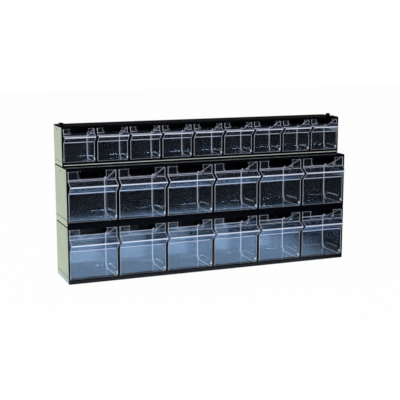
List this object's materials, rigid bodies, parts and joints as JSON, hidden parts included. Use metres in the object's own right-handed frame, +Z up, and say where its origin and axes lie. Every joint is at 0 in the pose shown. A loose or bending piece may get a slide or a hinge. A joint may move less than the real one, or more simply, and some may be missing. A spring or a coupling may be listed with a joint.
{
  "type": "parts bin cabinet",
  "caption": "Stack of three long black cabinets with rows of clear tip-out bins, stepped back at the top, for small parts",
  "frame": {"origin": "middle of the base, on the surface it stands on", "axes": "+X to the right along the length, +Y to the back, +Z up"},
  "size_m": [0.6, 0.1064, 0.3055],
  "materials": {
    "black_frame": "moulded black gloss",
    "clear_bin": "clear moulded styrene with a slight blue tint"
  },
  "bodies": {
    "frame": {"bottom_cabinet_back": "black_frame", "bottom_cabinet_top": "black_frame", "bottom_cabinet_floor": "black_frame", "bottom_cabinet_left_wall": "black_frame", "bottom_cabinet_right_wall": "black_frame", "bottom_cabinet_dividers": "black_frame", "middle_cabinet_back": "black_frame", "middle_cabinet_top": "black_frame", "middle_cabinet_floor": "black_frame", "middle_cabinet_left_wall": "black_frame", "middle_cabinet_right_wall": "black_frame", "middle_cabinet_dividers": "black_frame", "top_cabinet_back": "black_frame", "top_cabinet_top": "black_frame", "top_cabinet_floor": "black_frame", "top_cabinet_left_wall": "black_frame", "top_cabinet_right_wall": "black_frame", "top_cabinet_dividers": "black_frame"},
    "bottom_bin_1": {"bottom_bin_1": "clear_bin"},
    "bottom_bin_2": {"bottom_bin_2": "clear_bin"},
    "bottom_bin_3": {"bottom_bin_3": "clear_bin"},
    "bottom_bin_4": {"bottom_bin_4": "clear_bin"},
    "bottom_bin_5": {"bottom_bin_5": "clear_bin"},
    "bottom_bin_6": {"bottom_bin_6": "clear_bin"},
    "middle_bin_1": {"middle_bin_1": "clear_bin"},
    "middle_bin_2": {"middle_bin_2": "clear_bin"},
    "middle_bin_3": {"middle_bin_3": "clear_bin"},
    "middle_bin_4": {"middle_bin_4": "clear_bin"},
    "middle_bin_5": {"middle_bin_5": "clear_bin"},
    "middle_bin_6": {"middle_bin_6": "clear_bin"},
    "top_bin_1": {"top_bin_1": "clear_bin"},
    "top_bin_2": {"top_bin_2": "clear_bin"},
    "top_bin_3": {"top_bin_3": "clear_bin"},
    "top_bin_4": {"top_bin_4": "clear_bin"},
    "top_bin_5": {"top_bin_5": "clear_bin"},
    "top_bin_6": {"top_bin_6": "clear_bin"},
    "top_bin_7": {"top_bin_7": "clear_bin"},
    "top_bin_8": {"top_bin_8": "clear_bin"},
    "top_bin_9": {"top_bin_9": "clear_bin"}
  },
  "joints": [
    {"name": "bottom_bin_1_tilt", "type": "hinge", "parent": "frame", "child": "bottom_bin_1", "pos_m": [-0.24938, -0.039, 0.014], "axis": [1, 0, 0], "range_deg": [0, 45]},
    {"name": "bottom_bin_2_tilt", "type": "hinge", "parent": "frame", "child": "bottom_bin_2", "pos_m": [-0.14963, -0.039, 0.014], "axis": [1, 0, 0], "range_deg": [0, 45]},
    {"name": "bottom_bin_3_tilt", "type": "hinge", "parent": "frame", "child": "bottom_bin_3", "pos_m": [-0.04988, -0.039, 0.014], "axis": [1, 0, 0], "range_deg": [0, 45]},
    {"name": "bottom_bin_4_tilt", "type": "hinge", "parent": "frame", "child": "bottom_bin_4", "pos_m": [0.04988, -0.039, 0.014], "axis": [1, 0, 0], "range_deg": [0, 45]},
    {"name": "bottom_bin_5_tilt", "type": "hinge", "parent": "frame", "child": "bottom_bin_5", "pos_m": [0.14963, -0.039, 0.014], "axis": [1, 0, 0], "range_deg": [0, 45]},
    {"name": "bottom_bin_6_tilt", "type": "hinge", "parent": "frame", "child": "bottom_bin_6", "pos_m": [0.24938, -0.039, 0.014], "axis": [1, 0, 0], "range_deg": [0, 45]},
    {"name": "middle_bin_1_tilt", "type": "hinge", "parent": "frame", "child": "middle_bin_1", "pos_m": [-0.24938, -0.039, 0.126], "axis": [1, 0, 0], "range_deg": [0, 45]},
    {"name": "middle_bin_2_tilt", "type": "hinge", "parent": "frame", "child": "middle_bin_2", "pos_m": [-0.14963, -0.039, 0.126], "axis": [1, 0, 0], "range_deg": [0, 45]},
    {"name": "middle_bin_3_tilt", "type": "hinge", "parent": "frame", "child": "middle_bin_3", "pos_m": [-0.04988, -0.039, 0.126], "axis": [1, 0, 0], "range_deg": [0, 45]},
    {"name": "middle_bin_4_tilt", "type": "hinge", "parent": "frame", "child": "middle_bin_4", "pos_m": [0.04988, -0.039, 0.126], "axis": [1, 0, 0], "range_deg": [0, 45]},
    {"name": "middle_bin_5_tilt", "type": "hinge", "parent": "frame", "child": "middle_bin_5", "pos_m": [0.14963, -0.039, 0.126], "axis": [1, 0, 0], "range_deg": [0, 45]},
    {"name": "middle_bin_6_tilt", "type": "hinge", "parent": "frame", "child": "middle_bin_6", "pos_m": [0.24938, -0.039, 0.126], "axis": [1, 0, 0], "range_deg": [0, 45]},
    {"name": "top_bin_1_tilt", "type": "hinge", "parent": "frame", "child": "top_bin_1", "pos_m": [-0.266, -0.0115, 0.2365], "axis": [1, 0, 0], "range_deg": [0, 45]},
    {"name": "top_bin_2_tilt", "type": "hinge", "parent": "frame", "child": "top_bin_2", "pos_m": [-0.1995, -0.0115, 0.2365], "axis": [1, 0, 0], "range_deg": [0, 45]},
    {"name": "top_bin_3_tilt", "type": "hinge", "parent": "frame", "child": "top_bin_3", "pos_m": [-0.133, -0.0115, 0.2365], "axis": [1, 0, 0], "range_deg": [0, 45]},
    {"name": "top_bin_4_tilt", "type": "hinge", "parent": "frame", "child": "top_bin_4", "pos_m": [-0.0665, -0.0115, 0.2365], "axis": [1, 0, 0], "range_deg": [0, 45]},
    {"name": "top_bin_5_tilt", "type": "hinge", "parent": "frame", "child": "top_bin_5", "pos_m": [0, -0.0115, 0.2365], "axis": [1, 0, 0], "range_deg": [0, 45]},
    {"name": "top_bin_6_tilt", "type": "hinge", "parent": "frame", "child": "top_bin_6", "pos_m": [0.0665, -0.0115, 0.2365], "axis": [1, 0, 0], "range_deg": [0, 45]},
    {"name": "top_bin_7_tilt", "type": "hinge", "parent": "frame", "child": "top_bin_7", "pos_m": [0.133, -0.0115, 0.2365], "axis": [1, 0, 0], "range_deg": [0, 45]},
    {"name": "top_bin_8_tilt", "type": "hinge", "parent": "frame", "child": "top_bin_8", "pos_m": [0.1995, -0.0115, 0.2365], "axis": [1, 0, 0], "range_deg": [0, 45]},
    {"name": "top_bin_9_tilt", "type": "hinge", "parent": "frame", "child": "top_bin_9", "pos_m": [0.266, -0.0115, 0.2365], "axis": [1, 0, 0], "range_deg": [0, 45]}
  ]
}
